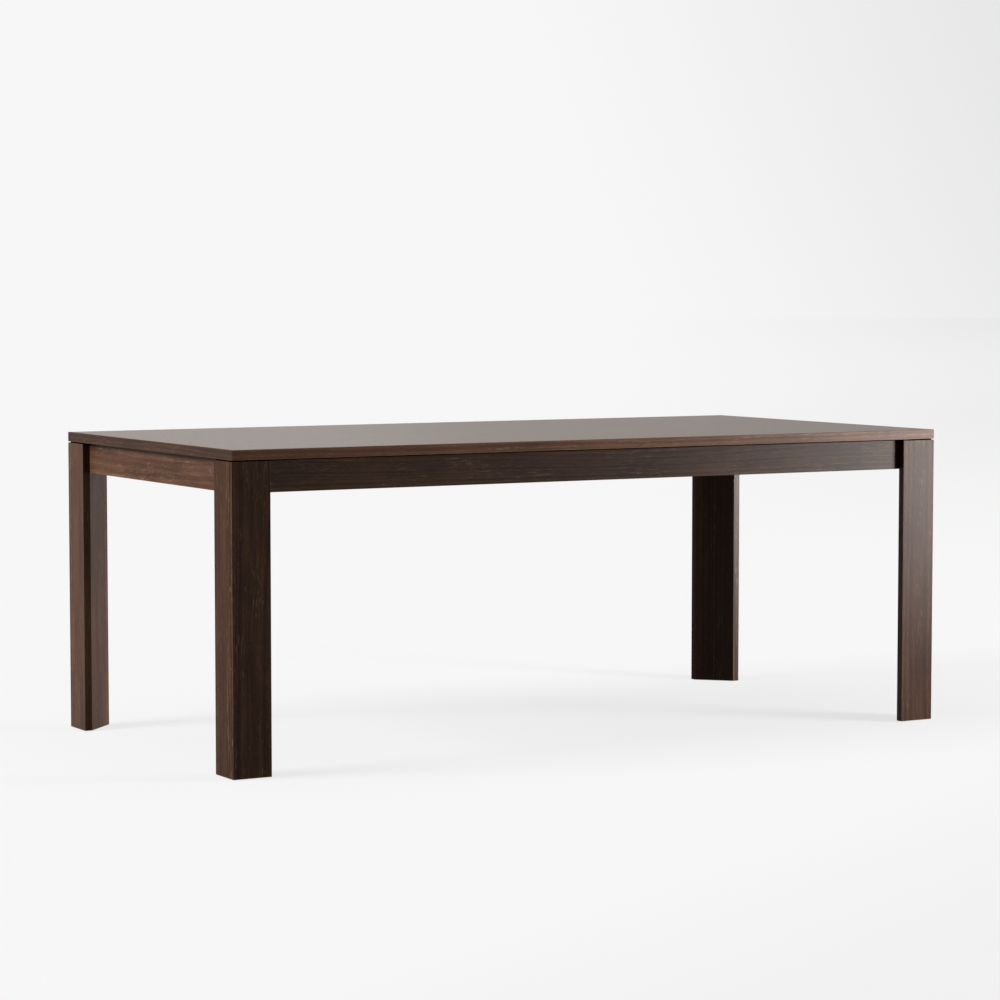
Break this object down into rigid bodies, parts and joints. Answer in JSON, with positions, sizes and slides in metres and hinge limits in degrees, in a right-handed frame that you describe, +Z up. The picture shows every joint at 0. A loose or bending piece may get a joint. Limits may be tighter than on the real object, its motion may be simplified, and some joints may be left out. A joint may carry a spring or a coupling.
{
  "type": "parsons dining table",
  "caption": "Long rectangular dining table with thick square legs flush with its corners, set-back aprons and screw-out levelling feet.",
  "frame": {"origin": "on the floor under the middle of the top", "axes": "+X along the table's length, +Y across it towards the back long side, +Z up"},
  "size_m": [2.01, 0.995, 0.762],
  "materials": {
    "top_veneer": "dark-stained walnut veneer, satin lacquer",
    "edge_lipping": "dark-stained solid walnut, satin lacquer",
    "core_board": "bare board",
    "leg_walnut": "dark-stained solid walnut, satin lacquer",
    "apron_walnut": "dark-stained solid walnut, satin lacquer",
    "frame_hardwood": "planed hardwood, clear sealer",
    "beech": "bare beech",
    "plated_steel": "bright zinc plate",
    "nylon": "black nylon"
  },
  "bodies": {
    "table_frame": {"top_face_veneer": "top_veneer", "top_backing_veneer": "top_veneer", "lipping_front": "edge_lipping", "lipping_back": "edge_lipping", "lipping_left": "edge_lipping", "lipping_right": "edge_lipping", "top_core": "core_board", "leg_front_left_outer_stave": "leg_walnut", "leg_front_left_middle_stave": "leg_walnut", "leg_front_left_inner_stave": "leg_walnut", "corner_block_front_left": "frame_hardwood", "leveler_insert_front_left": "plated_steel", "leg_front_right_outer_stave": "leg_walnut", "leg_front_right_middle_stave": "leg_walnut", "leg_front_right_inner_stave": "leg_walnut", "corner_block_front_right": "frame_hardwood", "leveler_insert_front_right": "plated_steel", "leg_back_left_outer_stave": "leg_walnut", "leg_back_left_middle_stave": "leg_walnut", "leg_back_left_inner_stave": "leg_walnut", "corner_block_back_left": "frame_hardwood", "leveler_insert_back_left": "plated_steel", "leg_back_right_outer_stave": "leg_walnut", "leg_back_right_middle_stave": "leg_walnut", "leg_back_right_inner_stave": "leg_walnut", "corner_block_back_right": "frame_hardwood", "leveler_insert_back_right": "plated_steel", "apron_front": "apron_walnut", "apron_back": "apron_walnut", "apron_left": "apron_walnut", "apron_right": "apron_walnut", "cross_rail_left": "frame_hardwood", "cross_rail_right": "frame_hardwood", "rail_dowels": "beech", "hanger_bolts": "plated_steel", "hanger_bolt_washers": "plated_steel", "hanger_bolt_nuts": "plated_steel", "block_screws": "plated_steel", "top_clips": "plated_steel", "clip_screws": "plated_steel", "rail_screws": "plated_steel"},
    "leveler_pad_front_left_body": {"leveler_pad_front_left": "nylon"},
    "leveler_stem_front_left_body": {"leveler_stem_front_left": "plated_steel"},
    "leveler_pad_front_right_body": {"leveler_pad_front_right": "nylon"},
    "leveler_stem_front_right_body": {"leveler_stem_front_right": "plated_steel"},
    "leveler_pad_back_left_body": {"leveler_pad_back_left": "nylon"},
    "leveler_stem_back_left_body": {"leveler_stem_back_left": "plated_steel"},
    "leveler_pad_back_right_body": {"leveler_pad_back_right": "nylon"},
    "leveler_stem_back_right_body": {"leveler_stem_back_right": "plated_steel"}
  },
  "joints": [
    {"name": "leveler_travel_front_left", "type": "slide", "parent": "table_frame", "child": "leveler_pad_front_left_body", "axis": [0, 0, -1], "range_m": [0, 0.012]},
    {"name": "leveler_turn_front_left", "type": "hinge", "parent": "leveler_pad_front_left_body", "child": "leveler_stem_front_left_body", "pos_m": [-0.965, -0.4575, 0.008], "axis": [0, 0, -1], "range_deg": [0, 3456]},
    {"name": "leveler_travel_front_right", "type": "slide", "parent": "table_frame", "child": "leveler_pad_front_right_body", "axis": [0, 0, -1], "range_m": [0, 0.012]},
    {"name": "leveler_turn_front_right", "type": "hinge", "parent": "leveler_pad_front_right_body", "child": "leveler_stem_front_right_body", "pos_m": [0.965, -0.4575, 0.008], "axis": [0, 0, -1], "range_deg": [0, 3456]},
    {"name": "leveler_travel_back_left", "type": "slide", "parent": "table_frame", "child": "leveler_pad_back_left_body", "axis": [0, 0, -1], "range_m": [0, 0.012]},
    {"name": "leveler_turn_back_left", "type": "hinge", "parent": "leveler_pad_back_left_body", "child": "leveler_stem_back_left_body", "pos_m": [-0.965, 0.4575, 0.008], "axis": [0, 0, -1], "range_deg": [0, 3456]},
    {"name": "leveler_travel_back_right", "type": "slide", "parent": "table_frame", "child": "leveler_pad_back_right_body", "axis": [0, 0, -1], "range_m": [0, 0.012]},
    {"name": "leveler_turn_back_right", "type": "hinge", "parent": "leveler_pad_back_right_body", "child": "leveler_stem_back_right_body", "pos_m": [0.965, 0.4575, 0.008], "axis": [0, 0, -1], "range_deg": [0, 3456]}
  ],
  "couplings": [
    {"joint": "leveler_turn_front_left", "follows": "leveler_travel_front_left", "rad_per_m": 5026.5},
    {"joint": "leveler_turn_front_right", "follows": "leveler_travel_front_right", "rad_per_m": 5026.5},
    {"joint": "leveler_turn_back_left", "follows": "leveler_travel_back_left", "rad_per_m": 5026.5},
    {"joint": "leveler_turn_back_right", "follows": "leveler_travel_back_right", "rad_per_m": 5026.5}
  ]
}
